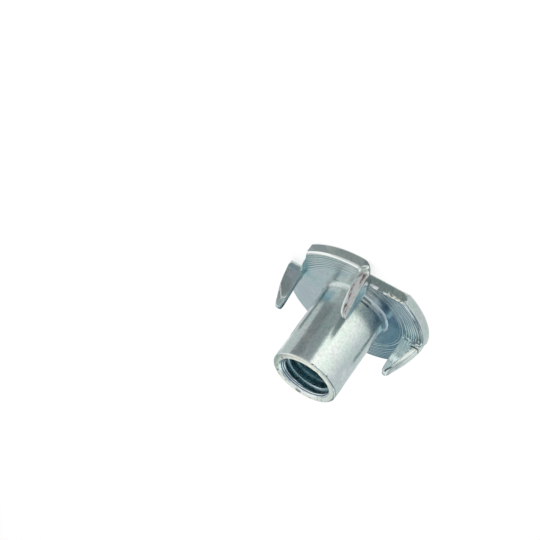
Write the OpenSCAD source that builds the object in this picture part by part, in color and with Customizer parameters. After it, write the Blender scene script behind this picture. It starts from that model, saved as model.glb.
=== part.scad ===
// Tee nut for wood: a round flange with a threaded barrel and bent prongs,
// pressed from one piece of steel sheet.
//
// Frame: millimetres. The flange's outer face lies on z = 0 and the barrel
// rises along +Z, so the nut stands on its flange. The origin is on the
// barrel's axis. The first prong's fold starts on the +X side, and seen from
// above each prong lies clockwise of the line where its fold starts.

/* [Flange] */
// Outside diameter of the round flange
flange_d = 22; // [21:0.5:26]
// Thickness of the flange
flange_t = 1.7; // [1.3:0.1:2.2]
// Round of the flange's rim and of the prongs' outer edge, on the barrel's side
rim_r = 0.4; // [0.2:0.05:0.5]

/* [Barrel] */
// Outside diameter of the barrel
barrel_d = 9.9; // [9.5:0.1:10.8]
// Height from the flange's outer face to the barrel's end
nut_h = 14.8; // [11:0.1:20]
// Fillet between the barrel and the flange
root_r = 0.8; // [0.4:0.1:1.2]
// Round of the barrel's outer edge at its end
end_r = 0.25; // [0.15:0.05:0.6]

/* [Thread] */
// Nominal diameter of the thread
thread_d = 8; // [6:0.5:8.5]
// Pitch of the thread
thread_pitch = 1.25; // [1:0.25:1.5]
// Diameter of the smooth mouth at the flange's outer face
mouth_d = 9.1; // [8.8:0.1:9.4]
// Depth of the smooth mouth, down to the thread's lead-in
mouth_h = 1.6; // [1:0.1:2.5]
// How much wider than the thread the mouth's inner end is
mouth_clear = 0.3; // [0.1:0.1:0.5]
// Depth of the lead-in chamfer at the barrel's end
lead_h = 0.7; // [0.4:0.05:0.8]

/* [Prongs] */
// Number of prongs
prongs = 4; // [3:1:5]
// Distance from the axis to the cut that frees each prong
cut_r = 7.9; // [7.2:0.1:8.6]
// Height of the prongs' tips above the flange's outer face
prong_h = 8.2; // [6.5:0.1:10]
// Thickness of the prongs
prong_t = 1.6; // [1.2:0.05:1.8]
// Inside radius of the fold at each prong's root
fold_r = 0.5; // [0.4:0.05:0.9]
// Radius of the prongs' convex outer edge, seen square to the prong
edge_r = 16; // [13:0.5:20]
// Radius of the prongs' tips
tip_r = 0.5; // [0.3:0.05:0.7]

/* [Hidden] */
$fn = 96;
// How far a cutting shape reaches past the surface that it cuts
over = 1;

flange_r = flange_d / 2;
barrel_r = barrel_d / 2;
mouth_r = mouth_d / 2;
// An internal metric thread is 5/8 of its sharp height deep
thread_r = thread_d / 2;
bore_r = thread_r - 5 / 8 * thread_pitch * cos(30);
throat_r = thread_r + mouth_clear / 2;
// Outside radius of the fold, and how far a prong's outer face stands from the
// line where its fold starts
face_u = fold_r + prong_t;
// Height at which the prong's inner face starts
fold_h = flange_t + fold_r;
// The tip's round touches the straight edge and, from inside, the convex edge
tip_x = cut_r + tip_r;
tip_z = prong_h - tip_r;
arc_x = flange_r - edge_r;
arc_z = tip_z - sqrt(pow(edge_r - tip_r, 2) - pow(tip_x - arc_x, 2));
// Direction from the convex edge's centre through the tip's centre
tip_dir = [tip_x - arc_x, tip_z - arc_z] / (edge_r - tip_r);
// Distance from the axis to the prong's convex edge in the middle of the fold
fold_x = arc_x + sqrt(pow(edge_r, 2) - pow(flange_t + fold_r / 2 - arc_z, 2));

// What a round of radius r takes off a corner that points to +X and +Y, drawn
// to reach past both of its sides
module corner_waste(r, reach = over) {
    difference() {
        translate([-r, -r]) square(r + reach);
        translate([-r, -r]) circle(r);
    }
}

// Half section of the turned part without its hole: radius along X, height
// along Y
module solid_section() {
    difference() {
        union() {
            square([flange_r, flange_t]);
            square([barrel_r, nut_h]);
            square([barrel_r + root_r, flange_t + root_r]);
        }
        translate([flange_r, flange_t]) corner_waste(rim_r);
        translate([barrel_r, nut_h]) corner_waste(end_r);
        translate([barrel_r + root_r, flange_t + root_r]) circle(root_r);
    }
}

// Half section of the hole: the drawn mouth, the bore at the thread's crests
// and the lead-in at the barrel's end
module hole_section() {
    polygon([
        [0, -over],
        [mouth_r, -over],
        [mouth_r, 0],
        [throat_r, mouth_h],
        [bore_r, mouth_h + throat_r - bore_r],
        [bore_r, nut_h - lead_h],
        [bore_r + lead_h, nut_h],
        [bore_r + lead_h, nut_h + over],
        [0, nut_h + over]
    ]);
}

// Section across the fold: distance past the fold's start along X, height
// along Y
module fold_section() {
    difference() {
        square([face_u, prong_h]);
        translate([face_u, 0]) mirror([0, 1]) corner_waste(face_u);
        difference() {
            translate([-over, flange_t]) square([over + fold_r, prong_h]);
            translate([fold_r, flange_t]) mirror([0, 1]) corner_waste(fold_r);
        }
    }
}

// Side view of a prong: distance from the nut's axis along X, height along Y
module side_section() {
    difference() {
        translate([cut_r, 0]) square([flange_r - cut_r, prong_h]);
        translate([flange_r, arc_z + edge_r]) corner_waste(edge_r, $fn = 360);
        difference() {
            polygon([
                [cut_r - over, tip_z],
                [tip_x, tip_z],
                [tip_x, tip_z] + tip_dir * (tip_r + over),
                [flange_r, prong_h + 2 * over],
                [cut_r - over, prong_h + 2 * over]
            ]);
            translate([tip_x, tip_z]) circle(tip_r);
        }
    }
}

// What the rim's round takes off the inner edge of the fold
module fold_waste() {
    translate([0, 0, fold_h]) rotate([-90, 0, 0]) rotate([0, 90, 0])
        rotate_extrude(angle = 90)
            translate([fold_r, fold_x]) mirror([1, 0])
                corner_waste(rim_r, reach = fold_r / 2);
}

// What the rim's round takes off the inner edge of the prong above its fold
module edge_waste() {
    intersection() {
        translate([arc_x, 0, arc_z]) rotate([-90, 0, 0])
            rotate_extrude($fn = 360)
                translate([edge_r, -fold_r]) corner_waste(rim_r);
        translate([cut_r - over, -face_u, fold_h])
            cube([flange_r, 2 * face_u, prong_h]);
    }
}

// One prong with its fold. The nut's axis is Z, the fold starts on +X and the
// prong stands on the -Y side of it.
module prong() {
    difference() {
        intersection() {
            rotate([90, 0, 90]) linear_extrude(flange_r)
                mirror([1, 0]) fold_section();
            rotate([90, 0, 0]) linear_extrude(face_u) side_section();
        }
        fold_waste();
        edge_waste();
    }
}

// What the cut and the fold take out of the flat flange for one prong
module notch() {
    translate([cut_r, -flange_r, -over])
        cube([flange_r, flange_r, flange_t + 2 * over]);
}

// The whole nut, pressed from one sheet
module tee_nut() {
    color([0.72, 0.77, 0.79]) {
        difference() {
            rotate_extrude() difference() {
                solid_section();
                hole_section();
            }
            for (i = [0 : prongs - 1])
                rotate([0, 0, i * 360 / prongs]) notch();
        }
        for (i = [0 : prongs - 1])
            rotate([0, 0, i * 360 / prongs]) prong();
    }
}

tee_nut();
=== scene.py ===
# %% [markdown]
# A four-prong tee nut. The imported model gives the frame: its box, its nodes
# and its bodies. Everything below is worked out in millimetres and put into
# the meshes in metres.

# %% Load the frame
import math

import bmesh
import bpy
import numpy as np
from mathutils import Matrix, Vector


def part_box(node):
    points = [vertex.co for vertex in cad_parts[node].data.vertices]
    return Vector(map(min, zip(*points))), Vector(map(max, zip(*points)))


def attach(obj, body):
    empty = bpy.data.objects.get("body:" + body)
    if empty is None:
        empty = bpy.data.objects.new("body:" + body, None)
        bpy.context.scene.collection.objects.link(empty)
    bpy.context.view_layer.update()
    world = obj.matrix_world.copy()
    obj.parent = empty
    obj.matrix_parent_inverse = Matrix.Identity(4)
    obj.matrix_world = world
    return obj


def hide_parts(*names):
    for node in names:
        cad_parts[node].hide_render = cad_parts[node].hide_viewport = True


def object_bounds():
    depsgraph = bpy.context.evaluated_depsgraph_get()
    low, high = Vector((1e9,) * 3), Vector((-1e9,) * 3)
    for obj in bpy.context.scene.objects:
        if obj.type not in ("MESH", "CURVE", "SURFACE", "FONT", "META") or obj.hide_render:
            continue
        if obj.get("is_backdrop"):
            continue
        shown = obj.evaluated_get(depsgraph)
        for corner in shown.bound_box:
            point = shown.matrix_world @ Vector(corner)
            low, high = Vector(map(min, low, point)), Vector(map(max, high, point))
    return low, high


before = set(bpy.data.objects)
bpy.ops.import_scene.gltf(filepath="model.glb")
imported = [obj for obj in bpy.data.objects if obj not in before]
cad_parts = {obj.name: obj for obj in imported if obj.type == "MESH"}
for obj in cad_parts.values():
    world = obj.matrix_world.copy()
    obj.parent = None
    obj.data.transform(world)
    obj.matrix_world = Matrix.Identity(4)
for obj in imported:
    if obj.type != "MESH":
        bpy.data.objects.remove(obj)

MM = 0.001
for leftover in ("Cube", "Light", "Camera"):
    if leftover in bpy.data.objects:
        bpy.data.objects.remove(bpy.data.objects[leftover])
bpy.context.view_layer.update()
nut_low, nut_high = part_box("tee_nut")
print("nut box, mm:", [round(x / MM, 2) for x in (*nut_low, *nut_high)])

# %% [markdown]
# The camera. The nut stands on its flange and is seen from above. The camera
# is rolled, so that the barrel points down and to the left in the picture. A
# long lens keeps the sides nearly parallel.

# %% Place the camera
def toward(azimuth, elevation):
    """Unit vector from the origin in that direction, in degrees."""
    az, el = math.radians(azimuth), math.radians(elevation)
    return Vector((math.cos(el) * math.cos(az), math.cos(el) * math.sin(az), math.sin(el)))


def look(azimuth, elevation, distance, aim, roll):
    """Camera matrix: a point at that azimuth, elevation and distance from the
    origin, looking at aim, then turned by roll about the line of sight."""
    place = toward(azimuth, elevation) * distance
    back = (place - Vector(aim)).normalized()
    side = Vector((0, 0, 1)).cross(back).normalized()
    up = back.cross(side)
    turn_by = math.radians(roll)
    right = side * math.cos(turn_by) + up * math.sin(turn_by)
    m = Matrix((right, back.cross(right), back)).transposed().to_4x4()
    m.translation = place * MM
    return m


def new_object(name, data):
    """A new object in the scene."""
    ob = bpy.data.objects.new(name, data)
    bpy.context.scene.collection.objects.link(ob)
    return ob


camera = new_object("camera", bpy.data.cameras.new("camera"))
camera.data.sensor_width = 36
camera.data.lens = 166.4
camera.data.clip_start = 0.01
camera.matrix_world = look(azimuth=164.35, elevation=26.58, distance=344.65,
                           aim=(-4.846, -11.485, 5.198), roll=-143.55)
bpy.context.scene.camera = camera
print("camera at, mm:", [round(x / MM, 1) for x in camera.matrix_world.translation])

# %% [markdown]
# The nut's own sizes, in millimetres. The flange's radius and the whole
# height come from the frame. The blank is one sheet: a round flange, a drawn
# barrel, and at four places a cut along a straight line frees a strip of the
# rim, which is folded up into a prong.

# %% Name the sizes
RIM_R = nut_high[0] / MM            # flange radius
NUT_H = nut_high[2] / MM            # height to the barrel's end
SHEET = 1.7                         # flange thickness
BARREL_R, ROOT_R, END_R = 4.95, 0.8, 0.25       # wall, fillet, round at the end
PITCH, THREAD_R = 1.25, 4.0
BORE_R = THREAD_R - 5 / 8 * PITCH * math.cos(math.radians(30))
MOUTH_R, MOUTH_H, THROAT_R, LEAD_H = 4.55, 1.6, 4.15, 0.7
CUT = 7.9                           # the straight cut's distance from the axis
FOLD_IN, PRONG_T = 0.5, 1.6
FOLD_OUT = FOLD_IN + PRONG_T        # the fold's outer radius
PRONG_H, TIP_R, EDGE_R = 8.2, 0.5, 16.0         # height, tip, long convex edge
NOTCH_R = 0.15, 0.8                 # round between cut and prong, at the sheet's two faces
FACE_ROUND, RIM_ROUND, CUT_ROUND = 0.12, 0.4, 0.08      # rounds of the sheet's edges
TRIM = 0.16                         # step where the prong's own trimmed edge starts
WIDE = 0.85                         # how far its drawn-in round reaches over the inner skin
RING_R = 6.5                        # where the turned part meets the flange's plates
EDGE_X = RIM_R - EDGE_R             # centre of the convex edge's arc
TIP_X, TIP_Z = CUT + TIP_R, PRONG_H - TIP_R
EDGE_Z = TIP_Z - math.sqrt((EDGE_R - TIP_R) ** 2 - (TIP_X - EDGE_X) ** 2)
TIP_TURN = math.atan2(TIP_Z - EDGE_Z, TIP_X - EDGE_X)
print("bore radius", round(BORE_R, 4), "edge centre", round(EDGE_X, 2), round(EDGE_Z, 3))

# %% [markdown]
# A store for patches, which are grids of points. Four turned copies of a
# sector's patch fill the round, and at the end all are welded where their
# borders meet. Two attributes go along: where each point lay on the flat
# blank, and three parts in one: how coarse the cutting tool left the surface,
# how far through the sheet the point lies, and its run up the prong.

# %% Keep the patches
store = {"points": [], "blank": [], "edge": [], "faces": [], "slots": [], "count": 0}
FACE, DRAWN, SHEARED, THREADED = range(4)


def keep(points, blank, coarse=0.0, slot=FACE, polygon=False, through=0.0, run=0.0):
    """Adds a grid (rows, columns, 3) of points as quads, or one polygon."""
    flat = np.asarray(points, float).reshape(-1, 3)
    start = store["count"]
    if polygon:
        faces = [list(range(start, start + len(flat)))]
    else:
        rows, cols = points.shape[:2]
        i = start + np.arange(rows * cols).reshape(rows, cols)
        faces = np.stack([i[:-1, :-1], i[:-1, 1:], i[1:, 1:], i[1:, :-1]], -1)
        faces = faces.reshape(-1, 4).tolist()
    store["faces"] += faces
    store["slots"] += [slot] * len(faces)
    store["points"].append(flat)
    store["blank"].append(np.broadcast_to(blank, points.shape).reshape(-1, 3))
    edge = [np.broadcast_to(part, points.shape[:-1]) for part in (coarse, through, run)]
    store["edge"].append(np.stack(edge, -1).reshape(-1, 3))
    store["count"] += len(flat)


def lerp(a, b, t):
    """Straight way from a to b, at the share t."""
    return a + (b - a) * t


def grid(*parts):
    """Points from their coordinates, each one an array or a number."""
    return np.stack(np.broadcast_arrays(*parts), -1)


def joined(*rows):
    """Arrays set one after the other."""
    return np.concatenate(rows)


def steps(count):
    """So many equal steps from 0 to 1."""
    return np.linspace(0, 1, count)


def turned(points, i):
    """The points turned by i quarter turns about the nut's axis."""
    a = math.radians(90 * i)
    c, s = round(math.cos(a)), round(math.sin(a))
    x, y, z = np.moveaxis(points, -1, 0)
    return grid(c * x - s * y, s * x + c * y, z)


def polar(reach, angle, z):
    """Points (reach cos(angle), reach sin(angle), z) about the nut's axis."""
    return grid(reach * np.cos(angle), reach * np.sin(angle), z)


# How each of the four prongs came out of the press
SET_IN = (0.0, 0.1, 0.0, 0.05)      # how far it stands in from its true place
SLOPE = (0.01, 0.0, 0.0, -0.01)     # its slope outwards
STRETCH = (1.0, 0.92, 0.98, 0.965)  # its height against the nominal one
TWIST = (0.0, 0.0, 0.148, 0.03)     # how much it is twisted, as a slope
TWIST_AT = 9.95                     # the line that the twist leaves in place
CUT_SHIFT = (0.0, 0.0, 0.0, 0.6)    # how far the tool cut outside the nominal line
FACET = (0.0, 0.0, 0.0, 0.12)       # slope of the facet pressed on its tip
FACET_AT, FACET_LEAN, FACET_Z = 8.72, 1.35, 6.55        # its ridge, spread and height
EASE = 0.5                          # the height over which slope and stretch set in


def smooth(low, high, x):
    """0 below low, 1 above high, and a smooth rise between them."""
    t = np.clip((np.asarray(x, float) - low) / (high - low), 0, 1)
    return t * t * (3 - 2 * t)


def formed(points, i):
    """Prong i as the press leaves it: above the sheet it is set in, twisted,
    sloped and stretched a little, with a smooth start at the fold."""
    p = np.array(points, float)
    v, u, z = p[..., 0].copy(), -p[..., 1], p[..., 2].copy()
    rise = np.where((v > CUT - 0.01) & (u > 0), np.clip(z - SHEET, 0, None), 0)
    ease = rise * rise / (rise + EASE)
    lean = lerp(SHEET, z, STRETCH[3]) - FACET_Z + FACET_LEAN * np.abs(v - FACET_AT)
    facet = np.clip(lean, 0, None) * smooth(4.0, 4.6, z) * FACET[i]
    shift = TWIST[i] * (TWIST_AT - v) - SET_IN[i] - facet
    beside = smooth(1.0, 4.5, v - u) * smooth(-3.0, -0.3, u)
    beside = beside * smooth(6.6, CUT, v) * (1 - smooth(8.2, 10.6, v))
    p[..., 0] = v + CUT_SHIFT[i] * beside * (1 - 0.6 * smooth(2, 8, z))
    p[..., 1] = -(u + SLOPE[i] * ease + shift * smooth(0, 1.2, rise))
    p[..., 2] = z + (STRETCH[i] - 1) * ease * (PRONG_H - SHEET) / (PRONG_H - SHEET - EASE)
    return p


def keep_round(points, blank, *look, **more):
    """Adds a sector's patch four times, once for each prong."""
    for i in range(4):
        keep(turned(formed(points, i), i), turned(np.asarray(blank, float), i), *look, **more)


# %% [markdown]
# The section across a fold. Both skins of the sheet are flat, turn through a
# quarter circle, then run straight up the prong. A station is one place along
# that path, and a depth runs from the outer face to the barrel's side.

# %% Work out the fold's stations
N_EDGE = 13                         # points through the sheet's thickness
turn_to_sheet = math.acos(1 - SHEET / FOLD_OUT)
fold = joined(np.linspace(0, turn_to_sheet, N_EDGE),
              np.linspace(turn_to_sheet, math.pi / 2, 3)[1:])
outer_fold = grid(FOLD_OUT * np.sin(fold), FOLD_OUT * (1 - np.cos(fold)))
inner_fold = grid(FOLD_IN * np.sin(fold), SHEET + FOLD_IN * (1 - np.cos(fold)))
N_SIDE, N_TIP = 16, 7               # rows up the prong's side and round its tip


def edge_profile(thick, round_face, round_in, wide=None):
    """Depth and inset of the sheet's edge for each thickness: a quarter
    circle at the outer face, a flat band, and at the barrel's side a quarter
    circle or, where it is wide, a quarter ellipse."""
    wide = round_in if wide is None else wide
    thick, f, r, w = (np.asarray(x, float)[..., None] for x in (thick, round_face, round_in, wide))
    a, b = np.radians([0, 30, 60, 90]), np.radians(np.arange(0, 91, 15))
    band, none = np.array([1 / 3, 2 / 3]), 0 * thick
    depth = np.concatenate([f * (1 - np.cos(a)) + none, f + (thick - f - r) * band,
                            thick - r + r * np.sin(b)], -1)
    inset = np.concatenate([f * (1 - np.sin(a)) + none, none * band,
                            w * (1 - np.cos(b)) + none], -1)
    return depth, inset


TIP_THIN = 0.75                     # how much thinner the prong is at its very tip


def prong_thickness(z):
    """Prongs thin out towards their tips, most of all in the last third."""
    return PRONG_T - TIP_THIN * np.clip((z - FOLD_OUT) / (PRONG_H - FOLD_OUT), 0, 1) ** 4


rim_depth, rim_inset = edge_profile(SHEET, FACE_ROUND, RIM_ROUND)
cut_inset = np.zeros(N_EDGE)
cut_inset[[0, 1, 11, 12]] = [CUT_ROUND, 0.35 * CUT_ROUND, 0.3 * CUT_ROUND, CUT_ROUND]
print("stations in the fold:", len(fold), "through the thickness:", N_EDGE)

# %% [markdown]
# The rim's edge, from the corner of a lobe round to the prong's tip. It
# follows the flange's circle, turns up in the fold, and runs along the
# prong's long convex arc and the small round of its tip.

# %% Sweep the convex edge
N_LOBE = 28
rim_reach = RIM_R - rim_inset
corner_turn = np.arcsin((CUT - cut_inset) / rim_reach)
lobe_turn = np.arccos(CUT / rim_reach)
share = np.linspace(1, 0, N_LOBE)[:, None]
lobe_angle = joined(corner_turn[None], lobe_turn[None] * share)
edge_flat = polar(rim_reach, lobe_angle, rim_depth)


def edge_reach(z):
    """Distance from the axis to the prong's convex edge at that height."""
    return EDGE_X + np.sqrt(EDGE_R ** 2 - np.clip(z - EDGE_Z, 0, None) ** 2)


def fold_edge(stations):
    """The convex edge through the fold: the line through the thickness at
    each station, pulled in by the profile's inset."""
    o, i, a = outer_fold[stations], inner_fold[stations], fold[stations][:, None]
    thick = np.linalg.norm(i - o, axis=-1)
    past = smooth(0.42, 0.60, fold[stations] / (math.pi / 2))
    depth, inset = edge_profile(thick, FACE_ROUND, RIM_ROUND, lerp(RIM_ROUND, WIDE, past))
    uz = o[:, None] + (i - o)[:, None] * (depth / thick[:, None])[..., None]
    ease = a / (math.pi / 2)
    reach = RIM_R - (RIM_R - edge_reach(uz[..., 1])) * ease
    tilt = np.arcsin(np.clip((uz[..., 1] - EDGE_Z) / EDGE_R, 0, 1)) * ease
    v = reach - inset * np.cos(tilt) - TRIM * past[:, None]
    u = uz[..., 0] - inset * np.sin(tilt) * np.cos(a)
    z = uz[..., 1] - inset * np.sin(tilt) * np.sin(a)
    return grid(v, -u, z)


def prong_rows(x, z, r, tilt, inset, depth):
    """Points of a prong's edge: on the arc of radius r about (x, z), moved in
    by the inset, at the depth below the outer face."""
    return grid(x + (r - inset) * np.cos(tilt), depth - FOLD_OUT, z + (r - inset) * np.sin(tilt))


side_share = steps(N_SIDE + 1)[1:, None]
tip_share = steps(N_TIP + 1)[1:, None]
side_t = prong_thickness(lerp(FOLD_OUT, TIP_Z, side_share[:, 0]))
tip_t = prong_thickness(TIP_Z + TIP_R * np.sin(tip_share[:, 0] * math.pi / 2))


def side_start(depth):
    """Height where a prong's side starts above its fold, at that depth."""
    return FOLD_OUT + (SHEET + FOLD_IN - FOLD_OUT) * depth / side_t[:, None]


wide = lerp(WIDE, RIM_ROUND, smooth(0.25, 1, side_share[:, 0]))
depth, inset = edge_profile(side_t, FACE_ROUND, RIM_ROUND, wide)
tilt = lerp(np.arcsin((side_start(depth) - EDGE_Z) / EDGE_R), TIP_TURN, side_share)
trim = TRIM * (1 - smooth(0.75, 1, side_share))
edge_side = prong_rows(EDGE_X - trim, EDGE_Z, EDGE_R, tilt, inset, depth)
depth, inset = edge_profile(tip_t, FACE_ROUND, RIM_ROUND)
tilt = lerp(TIP_TURN, math.pi / 2, tip_share) + 0 * depth
edge_tip = prong_rows(TIP_X, TIP_Z, TIP_R, tilt, inset, depth)
edge_fold = fold_edge(np.arange(1, len(fold)))
convex = joined(edge_flat, edge_fold, edge_side, edge_tip)

# Where each station lay on the flat blank: the arc length of the sheet's
# middle through the fold, then the height up the prong
mid_r = (FOLD_OUT + FOLD_IN) / 2
run_fold = mid_r * fold[1:]
run_side = run_fold[-1] + lerp(0, TIP_Z - FOLD_OUT, side_share[:, 0])
run_tip = run_side[-1] + TIP_R * np.sin(tip_share[:, 0] * math.pi / 2)
run = joined(run_fold, run_side, run_tip)
full_run = joined([0], run)


def blank_of(points, stations_run):
    """Place on the flat blank for rows of points: the same place across, and
    the row's run past the fold's start."""
    out = np.zeros_like(points)
    out[..., 0] = points[..., 0]
    out[..., 1] = -np.asarray(stations_run)[:, None]
    return out


flat_blank = edge_flat * [1, 1, 0]
edge_blank = joined(flat_blank, blank_of(convex[len(edge_flat):], run))
edge_coarse = joined(np.full(N_LOBE, 0.15), np.linspace(0.2, 1, len(fold)),
                     np.ones(N_SIDE + N_TIP))[:, None]
through = steps(N_EDGE)[None] ** 0.85
edge_run = joined(np.zeros(len(edge_flat)), run)[:, None]
keep_round(convex, edge_blank, edge_coarse, SHEARED, through=through, run=edge_run)
print("convex edge grid:", convex.shape[:2])

# %% [markdown]
# The cutting tool left the prong's straight edge, towards the barrel. It rises
# beside the cut and runs round the tip, where its small rounds grow into
# those of the convex edge.

# %% Sweep the straight edge
cut_rows = np.arange(N_EDGE - 1, len(fold))
o, i = outer_fold[cut_rows], inner_fold[cut_rows]
thick = np.linalg.norm(i - o, axis=-1)
small = CUT_ROUND * np.array([0, 0.5, 0.8])
depth, inset = edge_profile(thick, small, small)
uz = o[:, None] + (i - o)[:, None] * (depth / thick[:, None])[..., None]
straight_fold = grid(CUT + inset, -uz[..., 0], uz[..., 1])

depth, inset = edge_profile(side_t, CUT_ROUND, CUT_ROUND)
straight_side = grid(CUT + inset, depth - FOLD_OUT, lerp(side_start(depth), TIP_Z, side_share))
depth, inset = edge_profile(tip_t, lerp(CUT_ROUND, FACE_ROUND, tip_share[:, 0]),
                            lerp(CUT_ROUND, RIM_ROUND, tip_share[:, 0] ** 2))
tilt = lerp(math.pi, math.pi / 2, tip_share) + 0 * depth
straight_tip = prong_rows(TIP_X, TIP_Z, TIP_R, tilt, inset, depth)
straight = joined(straight_fold, straight_side, straight_tip)
keep_round(straight, blank_of(straight, full_run[N_EDGE - 1:]), 1.0, SHEARED)
print("straight edge grid:", straight.shape[:2])

# %% [markdown]
# The cut's own face on the flange, as high as the sheet is thick. Near the
# prong it ends in a round corner: at each height a quarter circle joins the
# flat cut and the fold's skin.

# %% Sweep the cut's face and its corner
N_CUT, N_CORNER, N_FOOT = 21, 7, 6  # columns along the cut, its corner and the foot
near_u, near_z = outer_fold[:N_EDGE].T
notch_r = lerp(NOTCH_R[0], NOTCH_R[1], near_z / SHEET)
far_u = np.sqrt(rim_reach ** 2 - (CUT - cut_inset) ** 2)
cut_share = steps(N_CUT + 1)[:, None]
cut_face = grid(CUT - cut_inset,
                -lerp(far_u, near_u + notch_r, cut_share), lerp(rim_depth, near_z, cut_share))
cut_flat = cut_face.copy()
# The tool leaves a torn burr along the cut on the barrel's side
tear = np.random.default_rng(4).uniform(0, 1, (N_CUT + 1, 1))
torn = tear ** 1.5 * np.sin(np.pi * cut_share) ** 0.5
cut_face[:, -2:, 0] += np.array([0.08, 0.14]) * torn
cut_face[:, -2:, 2] += np.array([0.08, 0.16]) * torn
bend = np.linspace(0, math.pi / 2, N_CORNER + 1)[1:, None]
corner_r = notch_r + cut_inset * (1 - bend / (math.pi / 2))
corner = grid(CUT + notch_r - corner_r * np.cos(bend),
              -(near_u + notch_r - corner_r * np.sin(bend)), near_z)
cut_all = joined(cut_face, corner)
# Coarse past 1 means burr, which grows towards the barrel's side
cut_coarse = np.ones(cut_all.shape[:2])
cut_coarse[:N_CUT - 2, -6:] = [1.3, 1.6, 1.8, 2, 2, 2]
keep_round(cut_all, cut_all * [1, 1, 0], cut_coarse, SHEARED)
print("cut face grid:", cut_all.shape[:2])

# %% [markdown]
# The flange's two faces. Each is a ring of straight spokes from a circle
# round the barrel out to the cut, the fold's start and the lobe's corner. The
# rest of the lobe, past the cut's line, is a second grid.

# %% Fill the flange's faces
def foot_line(k):
    """Points from the cut to the fold's start, at profile point k: on the
    outer face (k first) or on the barrel's side (k last)."""
    foot = np.array([CUT, 0, rim_depth[k]])
    if k == 0:
        return lerp(cut_face[-1, k], foot, steps(N_FOOT + 2)[1:, None])
    bottom = np.array([CUT, -near_u[-1], rim_depth[k]])
    return lerp(bottom, foot, steps(N_FOOT + 1)[:, None])


def lobe_line(k):
    """Points up the cut's line, from the fold's start to the lobe's corner."""
    y = edge_flat[1, k, 1] * steps(N_LOBE)
    return grid(CUT, y, rim_depth[k])


N_SPOKE, N_ACROSS = 6, 8
spoke_share = np.append(np.linspace(0, 0.95, N_SPOKE), 1)[:, None, None]
ring_angle = np.radians(np.linspace(-45, 45, N_CUT + N_FOOT + 1 + N_LOBE + 1))
for k in (0, N_EDGE - 1):
    path = joined(cut_face[:, k], foot_line(k), lobe_line(k)[1:], edge_flat[:1, k])
    inner_path = joined(cut_flat[:, k], path[N_CUT + 1:])
    plate = lerp(polar(RING_R, ring_angle, rim_depth[k]), inner_path, spoke_share)
    plate[-1] = path                # the burr lifts only the very border
    keep_round(plate, plate * [1, 1, 0])

split = NOTCH_R[0] / (RIM_R - FACE_ROUND - CUT)
outer_across = joined([0], split + (1 - split) * steps(N_ACROSS))
inner_across = steps(N_ACROSS)
for k, across in ((0, outer_across), (N_EDGE - 1, inner_across)):
    lobe = lerp(lobe_line(k)[::-1, None], edge_flat[1:, k][:, None], across[None, :, None])
    keep_round(lobe, lobe * [1, 1, 0])
print("spokes:", len(ring_angle), "lobe grids:", lobe.shape[:2])

# %% [markdown]
# The prong's two skins. The inner one starts at the fold and is whole. The
# outer one is notched at its foot by the round corner, so it is laid in two
# pieces. Three flat polygons close what is left beside the foot.

# %% Lay the prong's skins
first = len(edge_flat) - 1          # the station where the fold starts
outer_right = convex[first:, 0]
inner_right = convex[first:, -1]
low = grid(CUT + notch_r, -near_u, near_z)
outer_low = lerp(low[:, None], outer_right[:N_EDGE, None], steps(N_ACROSS)[None, :, None])
keep_round(outer_low, blank_of(outer_low, full_run[:N_EDGE]))

foot_split = NOTCH_R[1] / (outer_right[N_EDGE - 1, 0] - CUT)
high_across = joined([0], foot_split + (1 - foot_split) * steps(N_ACROSS))
outer_high = lerp(straight[:, :1], outer_right[N_EDGE - 1:, None], high_across[None, :, None])
outer_high[0, 1:] = outer_low[-1]
keep_round(outer_high, blank_of(outer_high, full_run[N_EDGE - 1:]))

inner_low = grid(CUT, -inner_fold[:N_EDGE, 0], inner_fold[:N_EDGE, 1])
inner_left = joined(inner_low, straight[1:, -1])
inner_skin = lerp(inner_left[:, None], inner_right[:, None], inner_across[None, :, None])
keep_round(inner_skin, blank_of(inner_skin, full_run))

foot_top, foot_low = foot_line(N_EDGE - 1), foot_line(0)
side_polygon = joined(straight[0], inner_low[:-1][::-1], foot_top[1:-1][::-1])
low_polygon = joined(cut_all[N_CUT:, 0], foot_low[::-1])
top_polygon = joined(cut_all[N_CUT:, -1], foot_top[:1])
for shape, slot in ((side_polygon, SHEARED), (low_polygon, FACE), (top_polygon, SHEARED)):
    keep_round(shape, shape * [1, 1, 0], float(slot == SHEARED), slot, polygon=True)
print("skins:", outer_low.shape[:2], outer_high.shape[:2], inner_skin.shape[:2])

# %% [markdown]
# The turned part: fillet, barrel, its rounded end, and the mouth. Each is a
# profile carried round the axis.

# %% Turn the barrel and the mouth
around = np.radians(np.linspace(-45, 315, 4 * (len(ring_angle) - 1) + 1))


def arc(cx, cz, r, a0, a1, n):
    """Points of a circle's arc in the half section: radius, height."""
    a = np.radians(np.linspace(a0, a1, n))
    return grid(cx + r * np.cos(a), cz + r * np.sin(a))


def turn(profile):
    """The profile's points carried round the axis."""
    r, z = np.asarray(profile, float).T[:, :, None]
    return polar(r, around, z)


FOOT_R = 6.1                        # one more circle between the fillet and the plates
fillet = arc(BARREL_R + ROOT_R, SHEET + ROOT_R, ROOT_R, 270, 180, 10)
wall = grid(BARREL_R, np.linspace(SHEET + ROOT_R, NUT_H - END_R, 13))
end_round = arc(BARREL_R - END_R, NUT_H - END_R, END_R, 0, 90, 8)
outside = joined([[RING_R, SHEET], [FOOT_R, SHEET]], fillet, wall[1:-1], end_round)
outside_grid = turn(outside)
keep(outside_grid, outside_grid, 0.0, DRAWN)

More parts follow.
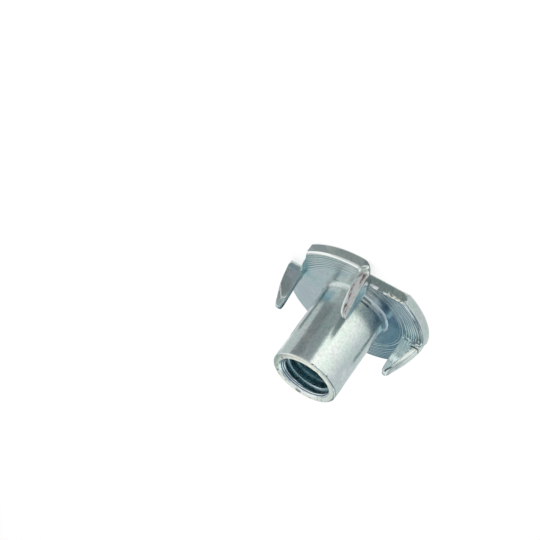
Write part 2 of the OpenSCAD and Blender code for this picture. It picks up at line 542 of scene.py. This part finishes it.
LIP = 0.35                          # height and width of the mouth's rounded lip
slope = (MOUTH_R - THROAT_R) / MOUTH_H
cone_z = np.linspace(MOUTH_H, LIP, 6)
cone = grid(MOUTH_R - slope * cone_z, cone_z)
t = steps(7)[1:, None]
corner_at, flat_at = np.array([MOUTH_R, 0]), np.array([MOUTH_R + 0.32, 0])
lip = cone[-1] * (1 - t) ** 2 + 2 * t * (1 - t) * corner_at + flat_at * t ** 2
mouth = joined(cone, lip, [[5.3, 0], [5.9, 0], [RING_R, 0]])
mouth_grid = turn(mouth)
keep(mouth_grid, mouth_grid, 0.0, DRAWN)
print("outside profile:", len(outside), "mouth profile:", len(mouth))

# %% [markdown]
# The thread, M8 with a pitch of 1.25 mm, right-handed. The grid's rows follow
# the helix, so that its crests and roots stay crisp. Where the lead-in cones
# are wider than the thread, the cone wins.

# %% Cut the thread
ROWS = 16                           # rows in one pitch


def thread_radius(phase):
    """Radius of a metric nut thread: a flat root P/8 wide, flanks at 60
    degrees, and a flat crest P/4 wide. phase 0 is the root's middle."""
    off = np.abs((phase + 0.5) % 1 - 0.5) * PITCH
    return np.clip(THREAD_R - (off - PITCH / 16) / math.tan(math.radians(30)), BORE_R, THREAD_R)


def hole_radius(turns, z):
    """Radius of the hole at that height, after so many turns."""
    throat = THROAT_R - (z - MOUTH_H)
    lead = BORE_R + LEAD_H - (NUT_H - z)
    return np.maximum(np.maximum(throat, lead), thread_radius(z / PITCH - turns))


turns = (around - around[0]) / (2 * math.pi)
first_row, last_row = math.floor((MOUTH_H / PITCH - 1) * ROWS), math.ceil(NUT_H / PITCH * ROWS)
row = np.arange(first_row, last_row + 1)[:, None] / ROWS
helix_z = np.clip(PITCH * (row + turns), MOUTH_H, NUT_H)
helix_r = hole_radius(turns, helix_z)
thread = polar(helix_r, around, helix_z)
crest_share = np.clip((THREAD_R - helix_r) / (THREAD_R - BORE_R), 0, 1)
keep(thread, thread, 0.0, THREADED, through=crest_share)

ring_in = hole_radius(turns, np.full_like(turns, NUT_H))
ring_r = lerp(BARREL_R - END_R, ring_in, steps(4)[:, None])
end_ring = polar(ring_r, around, NUT_H)
keep(end_ring, end_ring, 0.0, DRAWN)
print("thread grid:", thread.shape[:2])

# %% [markdown]
# Weld the patches into one closed skin and mark the crisp edges.

# %% Weld the skin
WELD = 0.0015                       # points closer than this become one
SHARP = 34                          # degrees between faces that makes an edge crisp
mesh = bpy.data.meshes.new("pressed_nut")
points = np.concatenate(store["points"])
mesh.from_pydata((points * MM).tolist(), [], store["faces"])
mesh.polygons.foreach_set("material_index", np.array(store["slots"], np.int32))
for name in ("blank", "edge"):
    layer = mesh.attributes.new(name, "FLOAT_VECTOR", "POINT")
    layer.data.foreach_set("vector", np.concatenate(store[name]).astype(np.float32).ravel())

skin = bmesh.new()
skin.from_mesh(mesh)
bmesh.ops.remove_doubles(skin, verts=skin.verts, dist=WELD * MM)
bmesh.ops.dissolve_degenerate(skin, dist=1e-9, edges=skin.edges)
bmesh.ops.recalc_face_normals(skin, faces=skin.faces)
open_edges = sum(not e.is_manifold for e in skin.edges)
print("open edges:", open_edges, "volume, mm3:", round(skin.calc_volume() / MM ** 3, 1))
skin.to_mesh(mesh)
skin.free()
mesh.polygons.foreach_set("use_smooth", np.ones(len(mesh.polygons), bool))
mesh.set_sharp_from_angle(angle=math.radians(SHARP))
nut = new_object("pressed_nut", mesh)
even = nut.modifiers.new("even_normals", "WEIGHTED_NORMAL")
even.mode = "FACE_AREA"
even.keep_sharp = True
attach(nut, "root")
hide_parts("tee_nut")
print("faces:", len(mesh.polygons), "triangles:", len(mesh.loops) - 2 * len(mesh.polygons))

# %% [markdown]
# The finish is bright zinc over steel. The thin clear film on it drifts
# between teal, grey and lavender. A few small helpers make such patterns out
# of noise, all in millimetres. Each pattern is a field, a value that changes
# from place to place, and fields are worked with like numbers.

# %% Helpers for the finish
class Field:
    """One socket of a node tree. Fields add, subtract and multiply like
    numbers, and a | b is the larger of the two."""

    def __init__(self, socket):
        self.socket, self.tree = socket, socket.id_data

    __add__ = lambda a, b: maths("ADD", a, b)
    __sub__ = lambda a, b: maths("SUBTRACT", a, b)
    __rsub__ = lambda a, b: maths("SUBTRACT", b, a)
    __mul__ = lambda a, b: maths("MULTIPLY", a, b)
    __or__ = lambda a, b: maths("MAXIMUM", a, b)


def shader(name):
    """A new material with its node tree and its shader's inputs."""
    m = bpy.data.materials.new(name)
    m.use_nodes = True
    return m, m.node_tree, m.node_tree.nodes["Principled BSDF"].inputs


def put(socket, value):
    """Gives an input its value, or links it to a field."""
    if isinstance(value, Field):
        value.tree.links.new(value.socket, socket)
    else:
        socket.default_value = value


def add(tree, kind, inputs=(), **settings):
    """Adds a shader node of that kind. inputs pairs a socket's name or number
    with a value or with a field."""
    n = tree.nodes.new("ShaderNode" + kind)
    for key, value in settings.items():
        setattr(n, key, value)
    for key, value in dict(inputs).items():
        put(n.inputs[key], value)
    return n


def field(tree, kind, inputs=(), output=0, **settings):
    """Adds a node and takes the field that it gives out."""
    return Field(add(tree, kind, inputs, **settings).outputs[output])


def maths(operation, a, b=0.0):
    """One sum on two fields, or on a field and a number."""
    tree = (a if isinstance(a, Field) else b).tree
    return field(tree, "Math", {0: a, 1: b}, operation=operation)


def coords(tree, across=1, along=None):
    """Object coordinates in millimetres, scaled across the nut's axis and
    along it."""
    along = across if along is None else along
    where = field(tree, "TexCoord", output="Object")
    scale = [s / MM for s in (across, across, along)]
    return field(tree, "Mapping", {"Vector": where, "Scale": scale})


def parts(vector):
    """A vector's three parts."""
    split = add(vector.tree, "SeparateXYZ", {0: vector})
    return [Field(socket) for socket in split.outputs]


def stored(tree, name):
    """The vector that the mesh keeps under that name."""
    return field(tree, "Attribute", output="Vector", attribute_name=name)


def length(vector):
    """A vector's length."""
    return field(vector.tree, "VectorMath", {0: vector}, "Value", operation="LENGTH")


def noise(where, detail=2.0, rough=0.5):
    """Noise from 0 to 1 at those coordinates."""
    inputs = {"Vector": where, "Scale": 1.0, "Detail": detail, "Roughness": rough}
    return field(where.tree, "TexNoise", inputs, "Fac")


def ramp(value, *stops):
    """A colour ramp: stops of position and colour."""
    n = add(value.tree, "ValToRGB", {"Fac": value})
    while len(n.color_ramp.elements) < len(stops):
        n.color_ramp.elements.new(0.5)
    for element, (at, colour) in zip(n.color_ramp.elements, stops):
        element.position, element.color = at, (*colour, 1)
    return Field(n.outputs[0])


def rise(value, start, full):
    """0 at the start, 1 where it is full, and smooth in between. It falls
    where the start is the larger of the two."""
    inputs = {"Value": value, "From Min": start, "From Max": full}
    return field(value.tree, "MapRange", inputs, interpolation_type="SMOOTHSTEP")


def within(value, start, full, fade, end):
    """1 from full to fade, 0 before the start and past the end."""
    return rise(value, start, full) * rise(value, end, fade)


def blend(share, a, b):
    """Colour a to colour b by the share."""
    n = add(share.tree, "Mix", data_type="RGBA")
    for key, value in ((0, share), (6, a), (7, b)):
        put(n.inputs[key], (*value, 1) if isinstance(value, tuple) else value)
    return Field(n.outputs[2])


def coats(tint, *layers):
    """The tint under coats of colour, each laid on by its share."""
    for share, colour in layers:
        tint = blend(share, tint, colour)
    return tint


def bump(height, depth, under=None):
    """Turns a height from 0 to 1 into relief that many millimetres deep."""
    inputs = {"Height": height, "Distance": depth * MM, "Strength": 1.0}
    if under is not None:
        inputs["Normal"] = under
    return field(height.tree, "Bump", inputs)


def gloss(tree, low, high):
    """Roughness that changes in small blotches, from low to high."""
    blotch = noise(coords(tree, 1.7), 4.0, 0.6)
    inputs = {"Value": blotch, "From Min": 0.3, "From Max": 0.7, "To Min": low, "To Max": high}
    return field(tree, "MapRange", inputs)


def finished(m, tint, roughness, normal, metal=1.0):
    """Gives a finish its colour, roughness and relief."""
    inputs = m.node_tree.nodes["Principled BSDF"].inputs
    put(inputs["Base Color"], tint)
    put(inputs["Roughness"], roughness)
    put(inputs["Normal"], normal)
    put(inputs["Metallic"], metal)
    return m


# %% [markdown]
# Tints and marks that more than one finish uses, painted reflection and shade
# among them. The blue side is the one where y is large.

# %% Shared tints and marks
TEAL, GREY, LAVENDER = (0.53, 0.66, 0.66), (0.63, 0.71, 0.69), (0.65, 0.68, 0.71)
CREAM, PALE_GRAIN, DULL_GRAIN = (0.79, 0.82, 0.78), (0.88, 0.90, 0.87), (0.42, 0.47, 0.47)
BLUE, NAVY = (0.44, 0.60, 0.66), (0.24, 0.35, 0.44)
# Two colours of painted shade: a dark line inside the rim, and dark marks on one prong
RIM_SHADE, PAINTED_SHADE = (0.12, 0.17, 0.19), (0.06, 0.08, 0.08)


def zinc_tint(tree):
    """The film's drift of colour: broad patches, broken up by finer ones."""
    broad = noise(coords(tree, 0.28), 3.0, 0.6)
    tint = ramp(broad, (0.3, TEAL), (0.46, GREY), (0.58, LAVENDER), (0.72, CREAM))
    grains = noise(coords(tree, 2.4), 2.0, 0.6)
    return coats(tint, (rise(grains, 0.5, 0.68) * 0.22, PALE_GRAIN),
                 (rise(grains, 0.5, 0.34) * 0.26, DULL_GRAIN))


def painted_blue_side(x, y, z, tint):
    """Painted reflection: the tint turns blue on one side, low down, and navy
    in a band beside the root."""
    reach = length(field(x.tree, "CombineXYZ", {0: x, 1: y}))
    navy = within(reach, 5.4, 5.7, 6.8, 8.0) * rise(y, 3.4, 4.6) * rise(x, 0.5, -1.5)
    return coats(tint, (rise(y, 2.5, 6.5) * rise(z, 5.0, 2.4) * 0.75, BLUE),
                 (navy * within(z, 1.2, 1.5, 1.78, 1.95) * 0.75, NAVY))


def rim_part(x, y, z):
    """The part of the rim that lies near the prong on the blue side."""
    return within(x, -6.2, -4.6, -0.6, 0.3) * rise(y, 7.4, 8.4) * within(z, 1.1, 1.3, 1.75, 1.85)


def prong_inside_and_shade(x, y, z):
    """The inside of the prong on the blue side, above its fold, and painted shade
    on it: a dark crease across the fold's end and a dark line near the tip."""
    inside = within(x, -0.2, 0.0, 1.6, 1.9) * rise(y, 7.4, 7.7) * rise(z, 2.0, 2.2)
    crease = within(z + y * 0.165, 3.97, 4.01, 4.19, 4.24) * rise(y, 9.3, 9.6)
    tip_shade = within(y * 0.829 + z * 0.56, 10.94, 11.02, 11.16, 11.24)
    tip_shade = tip_shade * within(z, 6.3, 6.8, 7.3, 7.45)
    return inside, inside * (crease | tip_shade)


# %% [markdown]
# The flange has fine rings about its middle. They run on over the prongs,
# which were part of the disc before they were folded up, so the rings follow
# the place on the flat blank.

# %% Finish for the flange and the prongs
RING_PITCH = 0.37


def flange_zinc():
    m, tree, _ = shader("zinc_flange")
    x, y, z = parts(coords(tree))
    radius = length(stored(tree, "blank"))
    uneven = field(tree, "TexNoise", {"W": radius * 3.4, "Scale": 1.0, "Detail": 1.0},
                   "Fac", noise_dimensions="1D")
    even = maths("SINE", radius * (2 * math.pi / RING_PITCH))
    ring = even * 0.34 + (uneven * 0.8 + 0.1)
    # The rings start further in on the blue side and are faint on the far one
    start = radius + rise(y, 1.0, 4.0) * 0.6
    zone = rise(start, 7.4, 8.5) * rise(radius, 10.9, 10.5) * rise(z, 1.80, 1.71)
    patch = rise(noise(coords(tree, 0.35)), 0.25, 0.6)
    strength = zone * (rise(y, -9.5, -6.0) * 0.7 + 0.3) * (patch * 0.3 + 0.7)
    drawn = noise(coords(tree, 2.2, 0.22), 2.0, 0.6)
    drawn_on = rise(z, 2.3, 3.2) * rise(y, -2.0, 2.0)
    normal = bump(noise(coords(tree, 0.22), 1.0), 0.10)
    normal = bump(noise(coords(tree, 4), 3.0, 0.6), 0.003, normal)
    normal = bump(drawn * drawn_on, 0.05, normal)
    normal = bump(ring * strength, 0.05, normal)
    # Painted blue reflection on one side, and navy beside the root
    tint = painted_blue_side(x, y, z, zinc_tint(tree))
    # Painted reflection: a pale cyan band low on the prong where x is low
    outer = rise(z, 2.0, 4.0) * rise(x, -4.0, -6.0)
    # Painted shade in the fold, strongest at its outer end
    ends = rise(radius, 9.5, 9.9) | rise(drawn, 0.42, 0.52) * 0.8
    press = within(z, 1.68, 1.78, 1.95, 2.2) * ends * rise(y, 4.0, 5.0)
    # The facet pressed on one prong's tip is matt, and painted highlight makes it pale
    lean = z + maths("ABSOLUTE", y + FACET_AT) * FACET_LEAN + drawn * 0.3
    facet = rise(lean, 6.62, 6.72) * rise(z, 4.2, 4.6) * rise(y, -7.0, -7.6)
    strip = facet * rise(lean, 7.15, 6.95)
    # Teal along one lobe's border, near the cut
    border_part = rise(y, -6.9, -7.8) * within(x, -7.8, -6.8, -2.8, -1.0)
    # Painted highlight inside the prong on the blue side, and painted shade towards its tip
    inside, dark = prong_inside_and_shade(x, y, z)
    tint = coats(
        tint,
        # Painted reflection on the prong where x is low
        (outer * 0.7, (0.82, 0.94, 0.93)),
        (rise(drawn, 0.46, 0.60) * drawn_on * 0.7, (0.88, 0.92, 0.88)),
        (rise(ring, 0.52, 0.8) * strength * 0.85, (0.22, 0.33, 0.37)),
        (rise(ring, 0.48, 0.2) * strength * 0.75, (0.92, 0.97, 0.95)),
        # Painted shade in the fold
        (press * 0.9, (0.06, 0.10, 0.11)),
        # Painted highlight on the facet
        (facet * 0.6, (0.90, 0.93, 0.93)),
        (strip * 0.8, (0.97, 0.95, 0.96)),
        # Painted shade: a dark line inside the rim, on the blue side
        (rise(radius, 10.40, 10.48) * rim_part(x, y, z) * 0.85, RIM_SHADE),
        (border_part * within(z, 1.2, 1.5, 1.75, 1.9) * 0.65, (0.32, 0.58, 0.63)),
        (inside * 0.8, (0.95, 1.0, 1.0)),
        (inside * rise(z, 4.0, 4.7) * 0.75, (0.44, 0.57, 0.60)),
        # Painted shade: the crease and the line near the tip
        (dark * 0.95, PAINTED_SHADE))
    return finished(m, tint, gloss(tree, 0.14, 0.24) + strip * 0.32, normal)


# %% [markdown]
# The die left faint streaks along the barrel: noise stretched along the axis.

# %% Finish for the barrel
FLAW_AT = (4.20, -0.84, 14.8)       # a dark flaw on the barrel's end


def barrel_zinc():
    m, tree, _ = shader("zinc_barrel")
    where = coords(tree)
    x, y, z = parts(where)
    streak = noise(coords(tree, 2.6, 0.12), 2.0, 0.6)
    fine = noise(coords(tree, 3.5, 2.5), 3.0, 0.6)
    normal = bump(noise(coords(tree, 0.3, 0.12), 1.0), 0.08)
    normal = bump(streak, 0.006, normal)
    normal = bump(fine, 0.003, normal)
    tint = blend(rise(streak, 0.5, 0.75) * 0.3, zinc_tint(tree), (0.8, 0.82, 0.79))
    # Painted blue reflection on one side, and navy beside the root
    tint = painted_blue_side(x, y, z, tint)
    # Painted teal shade low on the wall
    wall_shade = within(z, 2.7, 3.4, 4.4, 5.4) * within(y, -4.5, -3.7, -2.6, -1.7)
    spot = rise(noise(coords(tree, 1.6), 1.0), 0.66, 0.70) * rise(z, 14.2, 14.5)
    flaw = field(tree, "VectorMath", {0: where, 1: FLAW_AT}, "Value", operation="DISTANCE")
    spot = spot | rise(flaw + fine * 0.15, 0.60, 0.42)
    # The fillet at the root is duller. On the blue side it carries painted shade,
    # and near one prong two dark strokes of painted reflection
    foot = within(z, 1.71, 1.85, 2.4, 2.9)
    prong_reflection = within(z, 1.93, 1.98, 2.16, 2.22) | within(z, 2.50, 2.56, 2.78, 2.86)
    prong_reflection = prong_reflection * within(y, 1.1, 1.6, 2.6, 3.0) * rise(x, -3.5, -3.9)
    tint = coats(
        tint,
        (wall_shade * rise(x, -2.2, -2.9) * 0.6, (0.27, 0.45, 0.52)),
        # The end's ring is paler, with darker green painted shade at one side, and has dark spots
        (rise(z, 14.6, 14.78) * 0.6, (0.73, 0.77, 0.70)),
        (rise(z, 14.4, 14.6) * rise(y, -3.6, -4.4) * 0.75, (0.46, 0.56, 0.53)),
        (spot * 0.85, (0.10, 0.11, 0.11)),
        # Painted shade at the root on the blue side, then the painted reflection of the prong
        (foot * rise(x, -3.0, -0.8) * rise(y, 3.0, 4.0) * 0.75, (0.36, 0.50, 0.56)),
        (prong_reflection * 0.85, (0.10, 0.16, 0.16)))
    return finished(m, tint, gloss(tree, 0.15, 0.26) + foot * 0.1, normal)


# %% [markdown]
# Where the tool cut or broke the sheet, the surface is coarse: the plating is
# dull in the pits and shines on the high spots, and some pits are brown. The
# rim is far smoother, so the relief follows the coarse attribute.

# %% Finish for the cut edges
def sheared_zinc():
    m, tree, _ = shader("zinc_sheared")
    x, y, z = parts(coords(tree))
    edge = stored(tree, "edge")
    coarse, through, run = parts(edge)
    grain = noise(coords(tree, 2.4, 1.2), 4.0, 0.65)
    speck = noise(field(tree, "Mapping", {"Vector": edge, "Scale": (0, 6, 0.8)}), 4.0, 0.7)
    wander = noise(coords(tree, 0.9), 3.0, 0.6)
    # The torn band through the thickness of one prong's edge
    band = through + (wander - 0.5) * 0.2
    broken = within(band, 0.08, 0.15, 0.50, 0.60) * rise(run, 1.5, 2.1) * rise(x, -5.0, -7.0)
    pits = rise(speck, 0.48, 0.57) * broken * rise(band, 0.30, 0.42)
    pits = pits | within(band, 0.45, 0.49, 0.53, 0.58) * rise(speck, 0.47, 0.55) * broken
    warm = rise(grain, 0.44, 0.60) * broken
    normal = bump(grain * (rise(coarse, 0.3, 1.0) * 0.5 + 0.1), 0.10)
    normal = bump(1.0 - broken, 0.06, normal)
    normal = bump(grain * broken, 0.10, normal)
    # Where the tool rolled the edge over instead of breaking it, and up the prong, it is clean and
    # carries a painted highlight, palest on the blue side
    rounded = rise(through, 0.58, 0.72) * rise(coarse, 0.6, 0.3)
    clean = rise(run, 0.6, 1.6) * 0.8 | rounded
    smooth_highlight = blend(rise(through, 0.62, 0.80), (0.80, 0.85, 0.82), (0.54, 0.63, 0.61))
    smooth_highlight = blend(rise(y, 3.0, 6.0) * rise(run, 1.2, 2.2), (0.86, 0.90, 0.88), smooth_highlight)
    tint = blend(clean, zinc_tint(tree), smooth_highlight)
    # The torn burr shines on two of the cuts
    lumps = noise(coords(tree, 2.8, 3.2), 3.0, 0.6)
    bright = rise(lumps, 0.44, 0.52) * rise(coarse, 1.15, 1.9)
    bright = bright * (rise(x, -7.2, -6.8) | rise(y, 4.4, 5.2))
    # Two pale, matt patches on the rim of one cut, near its prong
    beside = y + (wander - 0.5) * 0.9 + (grain - 0.5) * 1.2
    pale_patch = (within(beside, 2.2, 2.4, 3.3, 3.5) * rise(z, 1.15, 1.35)
            | within(beside, 4.2, 4.4, 4.9, 5.2) * rise(z, 1.42, 1.55))
    pale_patch = pale_patch * rise(x, -6.8, -7.2) * rise(z, 2.4, 2.1) * rise(y, 2.0, 2.15)
    # Painted highlight on one end of a lobe's rim
    pale = rise(y, -2.5, -6.0) * rise(x, -6.0, -6.8) * rise(through, 0.80, 0.70)
    # The wide round inside one prong is matt, with a painted highlight that fades up the prong,
    # and lines of painted shade at its border
    inside, dark = prong_inside_and_shade(x, y, z)
    matt_highlight = inside * rise(through, 0.50, 0.60)
    border_shade = within(through, 0.66, 0.70, 0.72, 0.76) * rise(speck, 0.40, 0.55) * 0.5
    border_shade = border_shade | rise(through, 0.93, 0.98) * 0.75
    # Painted shade on the long edge of the prong on the dark side
    edge_shade = within(y, -9.0, -8.7, -7.0, -6.0) * within(x, -1.55, -1.25, 0.2, 0.6) * rise(z, 1.9, 2.3)
    tint = coats(
        tint,
        (broken * 0.55, (0.55, 0.53, 0.56)),
        (warm * 0.6, (0.62, 0.50, 0.52)),
        (pits * 0.9, (0.11, 0.10, 0.08)),
        (bright, (0.98, 0.94, 0.82)),
        (pale_patch * 0.85, (0.92, 0.92, 0.97)),
        # Painted shade: the same dark line inside the rim
        (rise(through, 0.76, 0.84) * rim_part(x, y, z) * 0.85, RIM_SHADE),
        # Painted highlight on one end of a lobe's rim
        (pale * 0.8, (0.96, 1.0, 0.97)),
        # Painted highlight on the round inside one prong
        (matt_highlight * 0.75, blend(rise(z, 3.0, 7.0), (0.90, 0.94, 0.92), (0.70, 0.79, 0.76))),
        # Painted shade: the prong's crease, tip line and the round's border
        ((dark | inside * border_shade) * 0.95, PAINTED_SHADE),
        (edge_shade * 0.85, (0.26, 0.36, 0.44)))
    roughness = broken * 0.2 + (matt_highlight * 0.1 + 0.18)
    matt = matt_highlight * 0.3 | (bright | pale_patch) * 0.5
    return finished(m, tint, roughness, normal, metal=1.0 - matt)


# %% [markdown]
# Inside the thread the metal is darker and bluer, with painted shade down in the
# grooves. On the lead-in the tap left fine lines.

# %% Finish for the thread
LINE_PITCH, LINE_AT = 0.195, 14.15


def thread_zinc():
    m, tree, _ = shader("zinc_thread")
    _, y, z = parts(coords(tree))
    _, crest, _ = parts(stored(tree, "edge"))
    mark = noise(coords(tree, 1.2, 5.0), 3.0, 0.6)
    tint = ramp(mark, (0.3, (0.42, 0.66, 0.73)), (0.55, (0.52, 0.74, 0.79)),
                (0.75, (0.68, 0.84, 0.86)))
    # Painted highlights on the crests on one side, and painted shade on the crests of the other
    top = rise(crest, 0.85, 0.98)
    lit = rise(y, -1.5, 1.5) * 0.7 + 0.1
    lead = rise(z, 14.0, 14.1)
    line = maths("COSINE", (z - LINE_AT) * (2 * math.pi / LINE_PITCH))
    line = rise(line, -0.45, 0.25) * lead * rise(z, 14.66, 14.62)
    tint = coats(
        tint,
        (top * rise(mark, 0.42, 0.62) * lit, (0.90, 0.95, 0.94)),
        (top * rise(y, 0.5, -1.5), (0.34, 0.52, 0.57)),
        # Painted shade down in the grooves
        (rise(crest, 0.8, 0.2) * 0.68, (0.20, 0.37, 0.42)),
        (lead, blend(rise(mark, 0.35, 0.6), (0.50, 0.61, 0.66), (0.84, 0.89, 0.89))),
        (line * 0.92, (0.07, 0.13, 0.16)))
    return finished(m, tint, gloss(tree, 0.22, 0.36), bump(line, 0.02, bump(mark, 0.01)))


# In the order of FACE, DRAWN, SHEARED, THREADED
for finish in (flange_zinc(), barrel_zinc(), sheared_zinc(), thread_zinc()):
    mesh.materials.append(finish)
print("finishes:", [m.name for m in mesh.materials])

# %% [markdown]
# The nut stands on a white floor. All pieces of the studio are flat and are
# marked as stage.

# %% Lay the floor
def stand(name, corners, material):
    """A flat piece of the studio."""
    me = bpy.data.meshes.new(name)
    me.from_pydata((np.asarray(corners, float) * MM).tolist(), [], [tuple(range(len(corners)))])
    me.materials.append(material)
    ob = new_object(name, me)
    ob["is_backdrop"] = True
    return ob


def level(x0, y0, x1, y1, z):
    """Corners of a level rectangle."""
    return [(x0, y0, z), (x1, y0, z), (x1, y1, z), (x0, y1, z)]


def seen(tree):
    """1 for what the camera sees, also in a reflection or through glass."""
    rays = add(tree, "LightPath").outputs
    direct, glossy, clear = (Field(rays[f"Is {kind} Ray"])
                             for kind in ("Camera", "Glossy", "Transmission"))
    return direct | (glossy | clear)


def paper():
    """White paper that takes the part's shadow. To the camera and in
    reflections most of it is plain white, which softens the shadow."""
    m, tree, inputs = shader("white_paper")
    put(inputs["Base Color"], (0.92, 0.92, 0.92, 1))
    put(inputs["Roughness"], 1)
    put(inputs["Specular IOR Level"], 0)
    lit = Field(tree.nodes["Principled BSDF"].outputs[0])
    white = field(tree, "Emission", {"Color": (1, 1, 1, 1), "Strength": 1.0})
    mixed = field(tree, "MixShader", {0: seen(tree) * 0.8, 1: lit, 2: white})
    put(tree.nodes["Material Output"].inputs["Surface"], mixed)
    return m


FLOOR = 3000                        # half the floor's side
stand("floor", level(-FLOOR, -FLOOR, FLOOR, FLOOR, 0), paper())
print("floor's side, mm:", 2 * FLOOR)

# %% [markdown]
# A bright metal part shows its surroundings, so plain cards that only its
# reflections see stand beside it. They give the barrel its bands.

# %% Set up the cards
def card(name, corners, colour, ending="_card"):
    """A plain card that shows only in reflections."""
    m, _, inputs = shader(name + ending)
    put(inputs["Base Color"], (0, 0, 0, 1))
    put(inputs["Specular IOR Level"], 0)
    put(inputs["Emission Color"], (*colour, 1))
    put(inputs["Emission Strength"], 1)
    ob = stand(m.name, corners, m)
    ob.visible_camera = ob.visible_diffuse = ob.visible_shadow = ob.visible_transmission = False


def fan(start, stop, near, far, height=0.15, count=16):
    """Corners of a level sector of a ring: two azimuths, two distances."""
    a = np.radians(np.linspace(start, stop, count))
    return joined(polar(near, a, height), polar(far, a[::-1], height))


def upright(azimuth, distance, left, right, low, high):
    """Corners of a standing card that faces the nut: where it stands, and its
    reach to both sides as seen from the nut."""
    a = math.radians(azimuth)
    out, side, up = polar(1, a, 0), polar(1, a + math.pi / 2, 0), np.array([0, 0, 1])
    reach = ((left, low), (right, low), (right, high), (left, high))
    return [out * distance + side * s + up * h for s, h in reach]


# Cards on the floor: under the rim, round the nut and beyond
UNDER, INNER, NEAR, AWAY, FAR = 5.5, 14.2, 14.3, 75, 130
GREY_CARD, GREY_FLOOR, WHITE_FLOOR = (0.35, 0.38, 0.37), (0.70, 0.76, 0.76), (1.30, 1.31, 1.23)
DARK_SIDE = (0.12, 0.18, 0.24)
for name, start, stop, colour in (
        ("dark", 213, 247, (0.25, 0.28, 0.285)),
        ("teal", 178, 213, (0.33, 0.38, 0.385)),
        ("white", 148, 178, (1.32, 1.33, 1.25)),
        ("grey", 247, 300, (0.64, 0.69, 0.67)),
        ("blue", -20, 92, GREY_FLOOR)):
    card(name + "_floor", fan(start, stop, NEAR, AWAY), colour)
SOFT_CARDS, SOFT_FROM, SOFT_WIDE = 8, 92, 7
for step in range(SOFT_CARDS):
    start = SOFT_FROM + SOFT_WIDE * step
    shade = lerp(np.array(GREY_FLOOR), np.array(WHITE_FLOOR), ((step + 0.5) / SOFT_CARDS) ** 0.75)
    card(f"soft_floor_card_{step}", fan(start, start + SOFT_WIDE, NEAR, AWAY, count=4), shade, "")
for name, start, stop, colour in (
        ("dark", 212, 228, (0.26, 0.29, 0.30)),
        ("left", 228, 275, (0.31, 0.35, 0.38)),
        ("teal", 178, 212, (0.33, 0.36, 0.35)),
        ("cut", 140, 178, (0.23, 0.28, 0.27)),
        ("pale", 20, 140, (0.66, 0.72, 0.70))):
    card("rim_" + name, fan(start, stop, UNDER, INNER), colour)
card("navy_floor", fan(-50, 0, 11.5, 24, height=0.3), (0.06, 0.11, 0.15))
card("navy_standing", upright(15.6, 45, -14, 0, 0, 45), (0.06, 0.12, 0.16))
card("far_grey", fan(90, 196, AWAY, FAR), GREY_CARD)
for name, *place, colour in (
        ("horizon", 143, FAR, -110, 110, 0, 75, GREY_CARD),
        ("blue_standing", -15.6, 26, 4.5, 15, 0, 21.5, (0.17, 0.28, 0.34)),
        ("pale_standing", -15.6, 27, -30, 4.5, 0, 21.5, (0.54, 0.62, 0.65)),
        ("ring_left", -15.6, 60, -80, -4.3, 37, 90, (0.43, 0.48, 0.47)),
        ("ring_middle", -15.6, 60, -4.3, 3.6, 37, 90, (1.15, 1.16, 1.06)),
        ("ring_right", -15.6, 60, 3.6, 22, 37, 90, (0.66, 0.72, 0.72)),
        ("warm_standing", 190, 36, -3, 30, 6, 45, (0.66, 0.67, 0.65)),
        ("prong_standing", 178, 40, -9, 5, 6, 45, (0.60, 0.72, 0.70)),
        ("dark_side", 112, 60, -23, 62, 18, 42, DARK_SIDE),
        ("dark_corner", 75, 60, -16, 17, 18, 80, DARK_SIDE),
        ("blue_side", 40, 76, -24, 49, 0, 31, (0.20, 0.28, 0.34)),
        ("cyan_side", 34, 76, -17, 33, 31.2, 67, (0.95, 1.12, 1.12)),
        ("low_side", 88, 70, -19, 20, 0, 22, (0.30, 0.42, 0.46))):
    card(name, upright(*place), colour)
card("fold_light", level(-1.75, -12, -0.2, -7.9, 0.2), (0.75, 0.80, 0.78))
card("ceiling", level(-70, 12, 160, 160, 150), (0.66, 0.70, 0.76))

# %% [markdown]
# The light: an even white world, weaker than what the camera sees of it, and
# one large soft lamp for a faint shadow.

# %% Set the light
world = bpy.data.worlds.new("studio")
bpy.context.scene.world = world
world.use_nodes = True
sky = world.node_tree.nodes["Background"].inputs
put(sky["Color"], (1, 1, 1, 1))
put(sky["Strength"], seen(world.node_tree) * 0.25 + 0.75)


def softbox(name, azimuth, elevation, distance, size, power):
    """A square lamp at that place, facing the nut. Reflections see the cards
    instead of it."""
    lamp = bpy.data.lights.new(name, "AREA")
    lamp.shape, lamp.size, lamp.energy = "SQUARE", size * MM, power
    ob = new_object(name, lamp)
    place = toward(azimuth, elevation) * distance * MM
    ob.matrix_world = Matrix.Translation(place) @ place.to_track_quat("Z", "Y").to_matrix().to_4x4()
    ob.visible_glossy = False


softbox("key", azimuth=130, elevation=78, distance=400, size=300, power=1.0)
bpy.context.scene.view_settings.view_transform = "Standard"
print("lamps:", len(bpy.data.lights))

# %% [markdown]
# At the end the box of the finished scene is printed. The imported model's box
# was printed at the start.

# %% Finish
low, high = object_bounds()
print("visual box, mm:", [round(x / MM, 2) for x in (*low, *high)])
